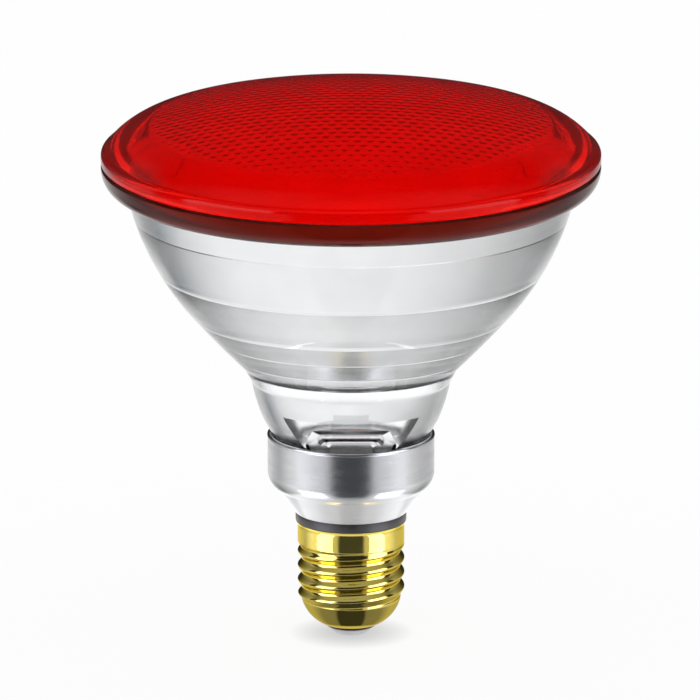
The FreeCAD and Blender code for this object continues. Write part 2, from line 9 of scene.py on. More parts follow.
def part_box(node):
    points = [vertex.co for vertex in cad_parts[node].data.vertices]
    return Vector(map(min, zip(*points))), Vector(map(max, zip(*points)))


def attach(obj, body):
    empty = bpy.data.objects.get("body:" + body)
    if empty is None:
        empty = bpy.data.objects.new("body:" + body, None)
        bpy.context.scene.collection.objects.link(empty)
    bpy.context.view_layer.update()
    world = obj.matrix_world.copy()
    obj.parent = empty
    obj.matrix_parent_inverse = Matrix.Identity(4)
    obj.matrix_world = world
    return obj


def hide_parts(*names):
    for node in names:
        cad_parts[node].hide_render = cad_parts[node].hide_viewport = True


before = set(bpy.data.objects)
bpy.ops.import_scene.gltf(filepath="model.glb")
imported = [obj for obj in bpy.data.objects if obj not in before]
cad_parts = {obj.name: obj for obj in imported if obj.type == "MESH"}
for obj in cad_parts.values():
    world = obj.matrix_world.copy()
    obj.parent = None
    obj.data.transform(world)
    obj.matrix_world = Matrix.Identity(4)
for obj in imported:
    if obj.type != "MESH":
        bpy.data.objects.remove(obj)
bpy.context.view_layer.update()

mm = 0.001


def levels(node):
    low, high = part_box(node)
    return low.z, high.z


def widest(node):
    """Largest radius that stays inside the node's own box on every side."""
    low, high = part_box(node)
    return min(high.x, -low.x, high.y, -low.y)


# Levels and radii that the frame gives
seam_z = levels("front_lens")[0]
neck_foot_z = levels("reflector")[0]
shell_z, ring_z = levels("screw_shell")
skirt_z, skirt_top_z = levels("skirt")
insulator_z, insulator_top_z = levels("base_insulator")
contact_z = levels("centre_contact")[0]
rim_r = widest("front_lens")
skirt_r = widest("skirt")
shell_flare_r = widest("screw_shell")
ring_r = widest("insulating_ring")
contact_rim_r = widest("centre_contact")
solder_r = widest("contact_solder")

# Lens
seam_bevel = 0.6 * mm
seam_gap = 0.01 * mm
rim_bore_r = 55.0 * mm
lens_wall_z = seam_z + 2.2 * mm
lens_edge_r = 60.0 * mm
lens_edge_z = lens_wall_z + 1.4 * mm
lens_edge_radius = 1.5 * mm
lens_dome_z = lens_edge_z + 6.3 * mm
lens_shoulder_radius = 19.0 * mm
lens_dome_r = 50.4 * mm
lens_dome_radius = 195.0 * mm
lens_glass = 3.6 * mm
lens_inner_corner_r = 53.9 * mm
lens_inner_corner_z = seam_z + 2.6 * mm
stipple_pitch = 3.0 * mm
stipple_height = 0.13 * mm
stipple_edge = 3.0 * mm
stipple_wave_low = 1.5

# Bowl
flange_z = seam_z - 6.2 * mm
flange_ledge_r = 57.6 * mm
flange_edge_radius = 5.6 * mm
flange_swell = 0.02 * mm
bowl_top_r = 55.0 * mm
bowl_height = 44.6 * mm
bowl_z = flange_z - bowl_height
bowl_foot_r = 26.3 * mm
bowl_waist_r = 41.4 * mm
waist_z = bowl_z + 16.2 * mm
bowl_low_radius = 240.0 * mm
bowl_high_radius = 70.0 * mm
bowl_wall = 3.2 * mm
ring_step = 0.15 * mm
ring_step_rise = 0.3 * mm
ring_flatness = 0.5
ring_levels = (0.09, 0.2, 0.316, 0.556, 0.85)

# Neck
collar_r = 24.4 * mm
collar_z = bowl_z - 3.5 * mm
neck_throat_r = 21.5 * mm
throat_z = collar_z - 9.6 * mm
neck_flare_radius = 40.0 * mm
neck_foot_r = 19.4 * mm
neck_foot_round = 2.4 * mm
neck_foot_ring = 3.4 * mm
floor_under_z = neck_foot_z + 1.6 * mm
floor_z = floor_under_z + 4.0 * mm
neck_wall = 3.4 * mm
neck_bore_r = 15.4 * mm
neck_bore_round = 2.0 * mm
collar_draft = 0.1 * mm
neck_flat_y = 12.4 * mm
neck_flat_z = throat_z + 5.4 * mm
post_x = 8.0 * mm
ferrule_hole_r = 2.55 * mm
exhaust_hole_r = 1.95 * mm
cut_past = 1.0 * mm

# Moulded pocket
pocket_depth = 5.9 * mm
pocket_half_width = 10.3 * mm
pocket_top_z = skirt_top_z + 3.5 * mm
pocket_low_z = skirt_top_z - 4.4 * mm
pocket_corner = 2.6 * mm
pocket_draft = 0.6
pocket_side_draft = 1.1
pocket_lean = 0.18
pocket_reach = pocket_depth + 2.4 * mm
pocket_floor_y = neck_throat_r - pocket_depth
boss_half_width = 8.0 * mm
boss_rise = 1.8 * mm
boss_top_z = skirt_top_z + 2.7 * mm
boss_corner = 1.0 * mm
boss_bevel = 0.5 * mm
boss_root = 1.0 * mm
dent_half_width = 5.4 * mm
dent_depth = 0.9 * mm
dent_top_z = skirt_top_z + 1.5 * mm
dent_cut_past = 0.2 * mm
ceiling_down = 0.3
ceiling_sideways = 0.2

# Skirt
skirt_sheet = 0.4 * mm
skirt_foot_r = 13.7 * mm
skirt_foot_hole_r = 11.0 * mm
skirt_crease_r = 18.2 * mm
crease_z = skirt_z + 6.2 * mm
shoulder_z = crease_z + 3.6 * mm
skirt_shoulder_radius = 5.2 * mm
skirt_lip_height = 0.9 * mm
skirt_lip_radius = 0.5625 * mm
skirt_curl_radius = 0.45 * mm
skirt_curl_drop = 0.3 * mm

# Insulating ring
ring_hole_r = 9.0 * mm
ring_spigot_r = 12.6 * mm
ring_spigot_z = ring_z - 2.0 * mm
ring_edge_round = 0.35 * mm

# Screw shell
brass_sheet = 0.3 * mm
shell_mouth_r = 6.3 * mm
thread_z = shell_z + 6.3 * mm
shell_cone_radius = 9.4 * mm
thread_root_r = 12.1 * mm
thread_crest_r = 13.1 * mm
thread_pitch = 25.4 * mm / 7
thread_fade = 1.9 * mm
thread_crest_z = 15.6 * mm
band_z = thread_z + 15.0 * mm
flare_z = band_z + 3.6 * mm

# Base insulator, centre contact and solder
insulator_lip_r = 5.8 * mm
insulator_lip_radius = 1.2 * mm
seat_gap = 0.05 * mm
wire_hole_r = 0.45 * mm
contact_flat_r = 4.0 * mm
contact_sheet = 0.4 * mm
contact_hole_r = 0.9 * mm
contact_bulge = 2.5 * mm
contact_rim_inset = 0.48 * mm
contact_flat_inset = 0.24 * mm
solder_plug_gap = 0.05 * mm
solder_flat_r = 1.7 * mm
solder_bulge = 1.3 * mm
solder_edge_r = 0.1 * mm
solder_unevenness = 0.12
solder_waves = 1.7
solder_shrink = 0.6

# Mesh fineness
round_steps = 256
small_round_steps = 128
least_arc_steps = 4
arc_step = 1.0 * mm
longest_chord = 1.99
run_step = 0.5 * mm
pad_steps = 16
stipple_cells = 6
grid_margin = 0.6
grid_tolerance = 1e-9
thread_rows = 200
inner_rows = 60
bowl_probe = 0.2 * mm
thread_probe = 0.05 * mm
same_point = 1e-7

# Camera, floor and lights
view_elevation = math.radians(15)
view_lens = 800.0
view_sensor = 36.0
view_width = 171.1 * mm
view_target = Vector((-0.25 * mm, 0, 71.7 * mm))
floor_reach = 8.0
floor_lift = 0.9
shadow_reach = 7.5 * mm
shadow_light = 0.58
ground_z = -0.1 * mm
ground_r = 40 * mm
ground_shade_r = 24 * mm
ground_patch_r = 6.2 * mm
window_azimuth = math.radians(50)
window_distance = 38.5 * mm
window_width = 22 * mm
window_height = 24 * mm
window_z = 12.5 * mm
window_power = 0.005
under_light_z = 28.2 * mm
under_light_size = 44 * mm
under_light_power = 0.0038


# Outlines

def arc_centre(start, end, radius):
    """Centre of an arc from start to end, to the right of the way, or to the left if radius is negative."""
    dr = end[0] - start[0]
    dz = end[1] - start[1]
    chord = math.hypot(dr, dz)
    reach = math.copysign(math.sqrt(radius * radius - chord * chord / 4) / chord, radius)
    return (start[0] + end[0]) / 2 + dz * reach, (start[1] + end[1]) / 2 - dr * reach


def bulge(start, end, radius, steps=None):
    """Points after start, up to end, of an arc that bulges to the left, or right if radius is negative."""
    chord = math.hypot(end[0] - start[0], end[1] - start[1])
    size = max(abs(radius), chord / longest_chord)
    centre_r, centre_z = arc_centre(start, end, math.copysign(size, radius))
    opening = math.copysign(2 * math.asin(chord / 2 / size), radius)
    first = math.atan2(start[1] - centre_z, start[0] - centre_r)
    steps = steps or max(least_arc_steps, round(size * abs(opening) / arc_step))
    points = []
    for step in range(1, steps):
        angle = first - opening * step / steps
        points.append((centre_r + size * math.cos(angle), centre_z + size * math.sin(angle)))
    return points + [end]


def run(start, end, step=run_step):
    """Points after start, up to end, of a straight run that later cuts need evenly divided."""
    count = max(1, round(math.dist(start, end) / step))
    return [(start[0] + (end[0] - start[0]) * i / count, start[1] + (end[1] - start[1]) * i / count)
            for i in range(1, count + 1)]


def arc_r(start, end, radius, z, inset=0.0):
    """Radius at height z of an arc with its centre on the axis side, or of one inset in it."""
    centre_r, centre_z = arc_centre(start, end, -radius)
    return centre_r + math.sqrt((radius - inset) ** 2 - (z - centre_z) ** 2)


def shell_cone_r(z, inset=0.0):
    """Radius of the screw shell's rounded end, or of what is seated inside it."""
    return arc_r((shell_mouth_r, shell_z), (thread_root_r, thread_z), shell_cone_radius, z, inset)


def bowl_outer_r(z):
    if z < waist_z:
        return arc_r((bowl_foot_r, bowl_z), (bowl_waist_r, waist_z), bowl_low_radius, z)
    return arc_r((bowl_waist_r, waist_z), (bowl_top_r, flange_z), bowl_high_radius, z)


def bowl_inner_r(z, wall):
    """Radius of the mirrored face where the glass is wall thick, measured square to the outer face."""
    slope = (bowl_outer_r(z + bowl_probe) - bowl_outer_r(z - bowl_probe)) / (2 * bowl_probe)
    return bowl_outer_r(z) - wall * math.sqrt(1 + slope * slope)


def mirror_outline():
    """Mirrored face from the bowl's foot to the flange: flattened rings with a small step between them."""
    cuts = [bowl_z] + [bowl_z + share * bowl_height for share in ring_levels] + [flange_z]
    points = []
    for low, high in zip(cuts, cuts[1:]):
        start = low + ring_step_rise if points else low
        first = bowl_inner_r(start, bowl_wall + ring_step)
        last = bowl_inner_r(high, bowl_wall)
        steps = max(least_arc_steps, round((high - start) / arc_step))
        for step in range(steps + 1):
            share = step / steps
            z = start + (high - start) * share
            curved = bowl_inner_r(z, bowl_wall + ring_step * (1 - share))
            straight = first + (last - first) * share
            points.append((curved + (straight - curved) * ring_flatness, z))
    return points


# Mesh helpers

def new_piece(name, mesh, slot, replaced, *materials):
    for made in materials:
        mesh.materials.append(made)
    piece = bpy.data.objects.new(name, mesh)
    bpy.context.scene.collection.objects.link(piece)
    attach(piece, "root")
    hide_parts(replaced)
    return piece


def turned_mesh(name, outline, closed=True, steps=round_steps, second=()):
    """Mesh turned from points of radius and height. Segments listed in second take the second material."""
    verts = []
    rings = []
    for r, z in outline:
        if r < same_point:
            rings.append([len(verts)] * steps)
            verts.append((0.0, 0.0, z))
            continue
        rings.append(range(len(verts), len(verts) + steps))
        for i in range(steps):
            angle = 2 * math.pi * i / steps
            verts.append((r * math.cos(angle), r * math.sin(angle), z))
    faces = []
    marks = []
    for segment in range(len(rings) if closed else len(rings) - 1):
        low = rings[segment]
        high = rings[(segment + 1) % len(rings)]
        for i in range(steps):
            j = (i + 1) % steps
            corners = list(dict.fromkeys((low[i], low[j], high[j], high[i])))
            if len(corners) > 2:
                faces.append(corners)
                marks.append(1 if segment in second else 0)
    mesh = bpy.data.meshes.new(name)
    mesh.from_pydata(verts, [], faces)
    mesh.polygons.foreach_set("material_index", marks)
    return mesh


def finished(mesh, sharp_degrees=28):
    """Merged points, outward faces, smooth shading, and sharp edges where the surface really turns."""
    work = bmesh.new()
    work.from_mesh(mesh)
    bmesh.ops.remove_doubles(work, verts=work.verts, dist=same_point)
    bmesh.ops.recalc_face_normals(work, faces=work.faces)
    work.to_mesh(mesh)
    work.free()
    mesh.shade_smooth()
    mesh.set_sharp_from_angle(angle=math.radians(sharp_degrees))
    return mesh


def cutter(name, mesh, placing=Matrix.Identity(4)):
    mesh.transform(placing)
    helper = bpy.data.objects.new(name, finished(mesh))
    bpy.context.scene.collection.objects.link(helper)
    return helper


def combine(piece, other, operation):
    """Joins other to piece or cuts it away, in the mesh itself. The other object is used up."""
    step = piece.modifiers.new(operation, "BOOLEAN")
    step.object = other
    step.operation = operation
    step.solver = "EXACT"
    depsgraph = bpy.context.evaluated_depsgraph_get()
    mesh = bpy.data.meshes.new_from_object(piece.evaluated_get(depsgraph))
    piece.modifiers.clear()
    piece.data = mesh
    bpy.data.objects.remove(other)


# Materials

glass_ior = 1.47


def material(name, colour, **sockets):
    """New material with a Principled shader. Each further argument is a socket's name with its number."""
    made = bpy.data.materials.new(name)
    made.use_nodes = True
    shader = made.node_tree.nodes["Principled BSDF"]
    shader.inputs["Base Color"].default_value = (*colour, 1)
    for socket, value in sockets.items():
        shader.inputs[socket.replace("_", " ").title().replace("Ior", "IOR")].default_value = value
    return made


def add(made, kind, links=(), **values):
    """New node in a material or world, with (input, output socket or number) pairs and its properties."""
    node = made.node_tree.nodes.new("ShaderNode" + kind)
    for key, value in values.items():
        setattr(node, key, value)
    for socket, source in links:
        if hasattr(source, "is_output"):
            made.node_tree.links.new(source, node.inputs[socket])
        else:
            node.inputs[socket].default_value = source
    return node


def place_of(made, stretch=(1, 1, 1)):
    """Point on the object in its own frame, stretched for a pattern with a grain."""
    coords = add(made, "TexCoord")
    return add(made, "Mapping", [("Vector", coords.outputs["Object"]), ("Scale", stretch)]).outputs["Vector"]


def grain(made, scale, detail=3.0, stretch=(1, 1, 1)):
    return add(made, "TexNoise", [("Vector", place_of(made, stretch)), ("Scale", scale),
                                  ("Detail", detail)]).outputs["Fac"]


def drive(made, socket, source, low, high, start=0.3, end=0.7):
    """Lets a shader's number follow a pattern between two values."""
    spread = add(made, "MapRange", [("Value", source), ("From Min", start), ("From Max", end),
                                    ("To Min", low), ("To Max", high)])
    shader = made.node_tree.nodes["Principled BSDF"]
    made.node_tree.links.new(spread.outputs["Result"], shader.inputs[socket])


def tint(made, source, stops):
    """Lets a shader's colour follow a pattern through a row of (place, colour) stops."""
    ramp = add(made, "ValToRGB", [("Fac", source)])
    fill_ramp(ramp, stops)
    shader = made.node_tree.nodes["Principled BSDF"]
    made.node_tree.links.new(ramp.outputs["Color"], shader.inputs["Base Color"])


def fill_ramp(ramp, stops):
    elements = ramp.color_ramp.elements
    while len(elements) < len(stops):
        elements.new(1.0)
    for element, (place, colour) in zip(elements, stops):
        element.position = place
        element.color = (*colour, 1)


def relief(made, source, depth, strength=1.0):
    """Bump of a pattern, with its depth in metres."""
    bump = add(made, "Bump", [("Height", source), ("Distance", depth), ("Strength", strength)])
    shader = made.node_tree.nodes["Principled BSDF"]
    made.node_tree.links.new(bump.outputs["Normal"], shader.inputs["Normal"])


def red_glass():
    made = material("red_glass", (0.88, 0.006, 0.003), roughness=0.03, transmission_weight=0.88,
                    ior=glass_ior, specular_tint=(1.0, 0.3, 0.25, 1))
    tint(made, grain(made, 60, 2), [(0.3, (0.84, 0.005, 0.003)), (0.7, (0.92, 0.007, 0.003))])
    relief(made, grain(made, 90, 2), 0.03 * mm)
    return made


def bowl_glass():
    made = material("bowl_glass", (0.97, 0.98, 0.98), roughness=0.02, transmission_weight=1.0,
                    ior=glass_ior)
    tint(made, grain(made, 60, 2), [(0.3, (0.96, 0.975, 0.975)), (0.7, (0.98, 0.985, 0.985))])
    relief(made, grain(made, 110, 2), 0.02 * mm)
    return made


def stained_glass():
    """Red stain that the bowl carries on its rim flange."""
    made = material("stained_glass", (0.16, 0.008, 0.004), roughness=0.05, transmission_weight=0.8,
                    ior=glass_ior, specular_tint=(0.5, 0.1, 0.06, 1))
    tint(made, grain(made, 60, 2), [(0.3, (0.14, 0.007, 0.003)), (0.7, (0.18, 0.009, 0.004))])
    relief(made, grain(made, 110, 2), 0.02 * mm)
    return made


def painted_shade_glass():
    """Painted shade: grey glass for the pocket's steep upper faces, where the glass turns the light away."""
    made = material("painted_shade_glass", (0.58, 0.60, 0.61), roughness=0.03, transmission_weight=1.0,
                    ior=glass_ior)
    tint(made, grain(made, 60, 2), [(0.3, (0.55, 0.57, 0.58)), (0.7, (0.62, 0.64, 0.65))])
    relief(made, grain(made, 110, 2), 0.02 * mm)
    return made


def mirror_film():
    made = material("mirror_film", (0.93, 0.93, 0.935), metallic=1.0, roughness=0.16)
    drive(made, "Roughness", grain(made, 160), 0.12, 0.20)
    tint(made, grain(made, 50), [(0.3, (0.90, 0.90, 0.91)), (0.7, (0.94, 0.94, 0.945))])
    return made


def drawn_aluminium():
    made = material("drawn_aluminium", (0.60, 0.605, 0.61), metallic=1.0, roughness=0.24)
    around = grain(made, 900, 3, (0.1, 0.1, 1))
    drive(made, "Roughness", around, 0.20, 0.28)
    tint(made, grain(made, 120), [(0.3, (0.60, 0.605, 0.61)), (0.7, (0.64, 0.64, 0.65))])
    relief(made, around, 0.002 * mm)
    return made


def rolled_brass():
    made = material("rolled_brass", (0.86, 0.68, 0.20), metallic=1.0, roughness=0.09,
                    specular_tint=(0.9, 0.78, 0.38, 1))
    drive(made, "Roughness", grain(made, 300), 0.06, 0.13)
    tint(made, grain(made, 140), [(0.3, (0.72, 0.57, 0.12)), (0.7, (0.80, 0.66, 0.18))])
    relief(made, grain(made, 500, 4), 0.008 * mm)
    return made


def plain(name, colour, other, scale, roughness, rougher, depth=0.0, **sockets):
    """Material whose colour and roughness wander between two values over a grain of the given scale."""
    made = material(name, colour, **sockets)
    pattern = grain(made, scale)
    tint(made, pattern, [(0.3, colour), (0.7, other)])
    drive(made, "Roughness", pattern, roughness, rougher)
    if depth:
        relief(made, pattern, depth)
    return made


# Pieces

def make_lens(glass):
    rise = lens_dome_radius - math.sqrt(lens_dome_radius ** 2 - lens_dome_r ** 2)
    centre_z = lens_dome_z + rise - lens_dome_radius
    cap_r = lens_dome_r - lens_glass / 2

    def inner_z(r):
        return centre_z + math.sqrt((lens_dome_radius - lens_glass) ** 2 - r ** 2)

    cap = (cap_r, inner_z(cap_r))
    bottom = seam_z + seam_gap
    wall_high = (rim_r, lens_wall_z)
    edge = (lens_edge_r, lens_edge_z)
    shoulder = (lens_dome_r, lens_dome_z)
    outline = [cap] + bulge(cap, (lens_inner_corner_r, lens_inner_corner_z), lens_shoulder_radius)
    outline += [(rim_bore_r, bottom), (rim_r - seam_bevel, bottom), (rim_r, seam_z + seam_bevel), wall_high]
    outline += bulge(wall_high, edge, -lens_edge_radius, steps=8)
    outline += bulge(edge, shoulder, -lens_shoulder_radius, steps=16)
    outline += bulge(shoulder, (0, lens_dome_z + rise), -lens_dome_radius, steps=40)
    mesh = turned_mesh("lens", outline, closed=False)
    places, triangles = stipple_grid(cap_r)
    work = bmesh.new()
    work.from_mesh(mesh)
    points = [work.verts.new((p.x, p.y, inner_z(p.length) - stipple_at(p, cap_r))) for p in places]
    for triangle in triangles:
        work.faces.new([points[i] for i in triangle])
    work.to_mesh(mesh)
    work.free()
    return new_piece("lens", finished(mesh, sharp_degrees=40), "red_glass", "front_lens", glass)


def stipple_grid(edge_r):
    """Flat points and triangles of a fine hexagonal grid that fills a circle."""
    flat = []
    for i in range(round_steps):
        angle = 2 * math.pi * i / round_steps
        flat.append(Vector((edge_r * math.cos(angle), edge_r * math.sin(angle))))
    rim = [(i, (i + 1) % round_steps) for i in range(round_steps)]
    step = stipple_pitch / stipple_cells
    row_step = step * math.cos(math.pi / 6)
    rows = int(edge_r / row_step)
    columns = int(edge_r / step) + 1
    for row in range(-rows, rows + 1):
        for column in range(-columns, columns):
            place = Vector(((column + row % 2 / 2) * step, row * row_step))
            if place.length < edge_r - grid_margin * step:
                flat.append(place)
    places, _, triangles = delaunay_2d_cdt(flat, rim, [], 1, grid_tolerance)[:3]
    return places, triangles


def stipple_at(place, edge_r):
    """Height of the hexagonal field of round pimples on the lens's inner face, none at the field's edge."""
    wave = 4 * math.pi / (stipple_pitch * math.sqrt(3))
    total = 0.0
    for turn in (0, math.pi / 3, -math.pi / 3):
        total += math.cos(wave * (place.y * math.cos(turn) + place.x * math.sin(turn)))
    fade = min(max((edge_r - place.length) / stipple_edge, 0), 1)
    return stipple_height * fade * (total + stipple_wave_low) / (3 + stipple_wave_low)


def framed(half_width, low, top, corner, depth):
    """Outline with cut upper corners, in a plane that leans out and is depth off the axis at the skirt."""
    corners = [(-half_width, low), (half_width, low), (half_width, top - corner),
               (half_width - corner, top), (corner - half_width, top), (-half_width, top - corner)]
    return [(x, -depth - pocket_lean * (z - skirt_top_z), z) for x, z in corners]


def lofted(name, *sections):
    """Closed body through outlines of equally many points."""
    count = len(sections[0])
    verts = [corner for section in sections for corner in section]
    last = len(verts) - count
    faces = [range(count), range(len(verts) - 1, last - 1, -1)]
    for start in range(0, last, count):
        for i in range(count):
            j = (i + 1) % count
            faces.append((start + i, start + count + i, start + count + j, start + j))
    mesh = bpy.data.meshes.new(name)
    mesh.from_pydata(verts, [], [tuple(face) for face in faces])
    return cutter(name, mesh)


def pocket_space():
    """Space of the front pocket, with its boss left standing and the dent in the boss's face."""
    spread = pocket_reach * pocket_draft
    side_spread = pocket_reach * pocket_side_draft
    space = lofted("pocket",
                   framed(pocket_half_width, pocket_low_z, pocket_top_z, pocket_corner, pocket_floor_y),
                   framed(pocket_half_width + side_spread, pocket_low_z - spread, pocket_top_z + spread,
                          pocket_corner + spread, pocket_floor_y + pocket_reach))
    face = pocket_floor_y + boss_rise
    low = pocket_low_z - 2 * spread
    boss = lofted("boss",
                  framed(boss_half_width, low, boss_top_z, boss_corner, pocket_floor_y - boss_root),
                  framed(boss_half_width, low, boss_top_z, boss_corner, face - boss_bevel),
                  framed(boss_half_width - boss_bevel, low, boss_top_z - boss_bevel, boss_corner, face))
    combine(space, boss, "DIFFERENCE")
    mouth = (dent_half_width + dent_depth, pocket_low_z, dent_top_z + dent_depth, boss_corner)
    dent = lofted("dent",
                  framed(dent_half_width, pocket_low_z, dent_top_z, boss_corner, face - dent_depth),
                  framed(*mouth, face),
                  framed(*mouth, face + dent_cut_past))
    combine(space, dent, "UNION")
    return space


def flat_pad(turn, glass, film):
    """Glass behind a pocket, which makes the neck's bore flat there."""
    sections = []
    for r, z in ((neck_bore_r, floor_z - cut_past), (neck_foot_r - neck_wall, skirt_top_z),
                 (neck_throat_r - neck_wall, throat_z), (neck_throat_r - neck_wall, neck_flat_z)):
        outer = r + neck_wall / 2
        reach = math.acos(neck_flat_y / outer)
        angles = [reach * (2 * step / pad_steps - 1) - math.pi / 2 for step in range(pad_steps + 1)]
        sections.append([(outer * math.cos(angle), outer * math.sin(angle), z) for angle in angles])
    pad = lofted("pad", *sections)
    for made in (glass, film):
        pad.data.materials.append(made)
    for face in pad.data.polygons:
        face.material_index = 1
    pad.data.transform(Matrix.Rotation(turn, 4, "Z"))
    return pad


def bowl_outside():
    """Outer face of the bowl, from its seam over flange and neck to the middle of the neck's floor."""
    bowl_foot = (bowl_foot_r, bowl_z)
    waist = (bowl_waist_r, waist_z)
    top = seam_z - seam_gap
    edge_r = rim_r - flange_swell
    collar = (collar_r, collar_z)
    throat = (neck_throat_r, throat_z)
    shank_top = (neck_foot_r, skirt_top_z)
    shank_low = (neck_foot_r, neck_foot_z + neck_foot_round)
    foot_in_r = neck_foot_r - neck_foot_ring
    points = [(rim_bore_r, top), (edge_r - seam_bevel, top), (edge_r, seam_z - seam_bevel)]
    points += bulge(points[-1], (flange_ledge_r, flange_z), flange_edge_radius, steps=12)
    points += [(bowl_top_r, flange_z)]
    points += bulge(points[-1], waist, bowl_high_radius) + bulge(waist, bowl_foot, bowl_low_radius)
    points += run(bowl_foot, collar) + bulge(collar, throat, neck_flare_radius, steps=24)
    points += run(throat, shank_top) + run(shank_top, shank_low)
    points += bulge(shank_low, (neck_foot_r - neck_foot_round, neck_foot_z), -neck_foot_round, steps=8)
    points += [(foot_in_r, neck_foot_z), (foot_in_r, floor_under_z), (0, floor_under_z), (0, floor_z)]
    return points


def bowl_inside():
    """Inner face of the bowl, from the neck's floor through the bore to the mirror's upper edge."""
    mirror = mirror_outline()
    floor_corner = (neck_bore_r - neck_bore_round, floor_z)
    bore_low = (neck_bore_r, floor_z + neck_bore_round)
    bore_throat = (neck_throat_r - neck_wall, throat_z)
    bore_mouth = (mirror[0][0] - collar_draft, collar_z)
    points = [floor_corner] + bulge(floor_corner, bore_low, -neck_bore_round, steps=8)
    points += [(neck_foot_r - neck_wall, skirt_top_z), bore_throat]
    points += bulge(bore_throat, bore_mouth, neck_wall - neck_flare_radius, steps=12) + mirror
    return points


def make_bowl(glass, film, stain, shade):
    outside = bowl_outside()
    inside = bowl_inside()
    filmed = range(len(outside), len(outside) + len(inside))
    mesh = turned_mesh("bowl", outside + inside, second=filmed)
    bowl = new_piece("bowl", finished(mesh), "mirrored_glass", "reflector", glass, film)
    for turn in (0, math.pi):
        combine(bowl, flat_pad(turn, glass, film), "UNION")
        space = pocket_space()
        space.data.transform(Matrix.Rotation(turn, 4, "Z"))
        combine(bowl, space, "DIFFERENCE")
    low = floor_under_z - cut_past
    high = floor_z + cut_past
    for x, r in ((-post_x, ferrule_hole_r), (post_x, ferrule_hole_r), (0, exhaust_hole_r)):
        rod = turned_mesh("hole", [(0, low), (r, low), (r, high), (0, high)], closed=False, steps=32)
        combine(bowl, cutter("hole", rod, Matrix.Translation((x, 0, 0))), "DIFFERENCE")
    bowl.data.materials.append(stain)
    bowl.data.materials.append(shade)
    for face in bowl.data.polygons:
        if face.material_index == 0 and face.center.z > flange_z - seam_gap:
            face.material_index = 2
        # Faces over a pocket that look down take the grey glass of painted shade.
        elif face.material_index == 0 and on_pocket_ceiling(face):
            face.material_index = 3
    finished(bowl.data)
    return bowl


def on_pocket_ceiling(face):
    """Tells whether a face of the neck's glass looks down from over a pocket, so that it takes the painted
    shade.
    """
    shade_top_z = pocket_top_z + pocket_reach * pocket_draft
    inside = abs(face.center.x) < pocket_half_width and skirt_top_z < face.center.z < shade_top_z
    return inside and face.normal.z < -ceiling_down and abs(face.normal.x) < ceiling_sideways


def make_skirt(metal):
    t = skirt_sheet
    slope = (skirt_crease_r - skirt_foot_r) / (crease_z - skirt_z)
    cone_t = t * math.sqrt(1 + slope ** 2)
    outer_foot = (skirt_foot_r, skirt_z)
    crease = (skirt_crease_r, crease_z)
    shoulder = (skirt_r, shoulder_z)
    lip_low = (skirt_r, skirt_top_z - skirt_lip_height)
    lip_top = (skirt_r - t, skirt_top_z)
    lip_end = (neck_foot_r + seat_gap, skirt_top_z - skirt_curl_drop)
    inner_lip_low = (skirt_r - t, skirt_top_z - skirt_lip_height)
    inner_shoulder = (skirt_r - t, shoulder_z)
    inner_crease = (skirt_crease_r - cone_t, crease_z)
    outline = [(skirt_foot_hole_r, skirt_z), outer_foot] + run(outer_foot, crease)
    outline += bulge(crease, shoulder, -skirt_shoulder_radius, steps=12) + run(shoulder, lip_low)
    outline += bulge(lip_low, lip_top, -skirt_lip_radius, steps=8)
    outline += bulge(lip_top, lip_end, -skirt_curl_radius, steps=6) + [inner_lip_low, inner_shoulder]
    outline += bulge(inner_shoulder, inner_crease, skirt_shoulder_radius - t, steps=8)
    outline += [(skirt_foot_r - cone_t + t * slope, skirt_z + t), (skirt_foot_hole_r, skirt_z + t)]
    mesh = finished(turned_mesh("skirt_shell", outline))
    return new_piece("skirt_shell", mesh, "aluminium", "skirt", metal)


def make_ring(black):
    e = ring_edge_round
    low = (ring_r - e, ring_z)
    high = (ring_r, skirt_z - e)
    outline = [(ring_hole_r, ring_spigot_z), (ring_spigot_r, ring_spigot_z), (ring_spigot_r, ring_z), low]
    outline += bulge(low, (ring_r, ring_z + e), -e, steps=5) + [high]
    outline += bulge(high, (ring_r - e, skirt_z), -e, steps=5) + [(ring_hole_r, skirt_z)]
    mesh = finished(turned_mesh("collar_ring", outline))
    return new_piece("collar_ring", mesh, "black_insulation", "insulating_ring", black)


def smooth_step(value):
    share = min(max(value, 0.0), 1.0)
    return share * share * (3 - 2 * share)


def shell_outer_r(z, angle):
    """Radius of the rolled screw shell's outer face: cone, right-handed thread, plain band and flare."""
    if z < thread_z:
        return shell_cone_r(z)
    if z > flare_z:
        share = (z - flare_z) / (ring_z - flare_z)
        return thread_crest_r + (shell_flare_r - thread_crest_r) * share ** 2
    wave = (1 + math.cos(2 * math.pi * (z - thread_crest_z) / thread_pitch - angle)) / 2
    wave *= smooth_step((z - thread_z) / thread_fade)
    wave = 1 - (1 - wave) * smooth_step((band_z - z) / thread_fade)
    return thread_root_r + (thread_crest_r - thread_root_r) * wave


def shell_inner_r(z, angle):
    low = max(z - thread_probe, shell_z)
    high = min(z + thread_probe, ring_z)
    slope = (shell_outer_r(high, angle) - shell_outer_r(low, angle)) / (high - low)
    return shell_outer_r(z, angle) - brass_sheet * math.sqrt(1 + slope * slope)


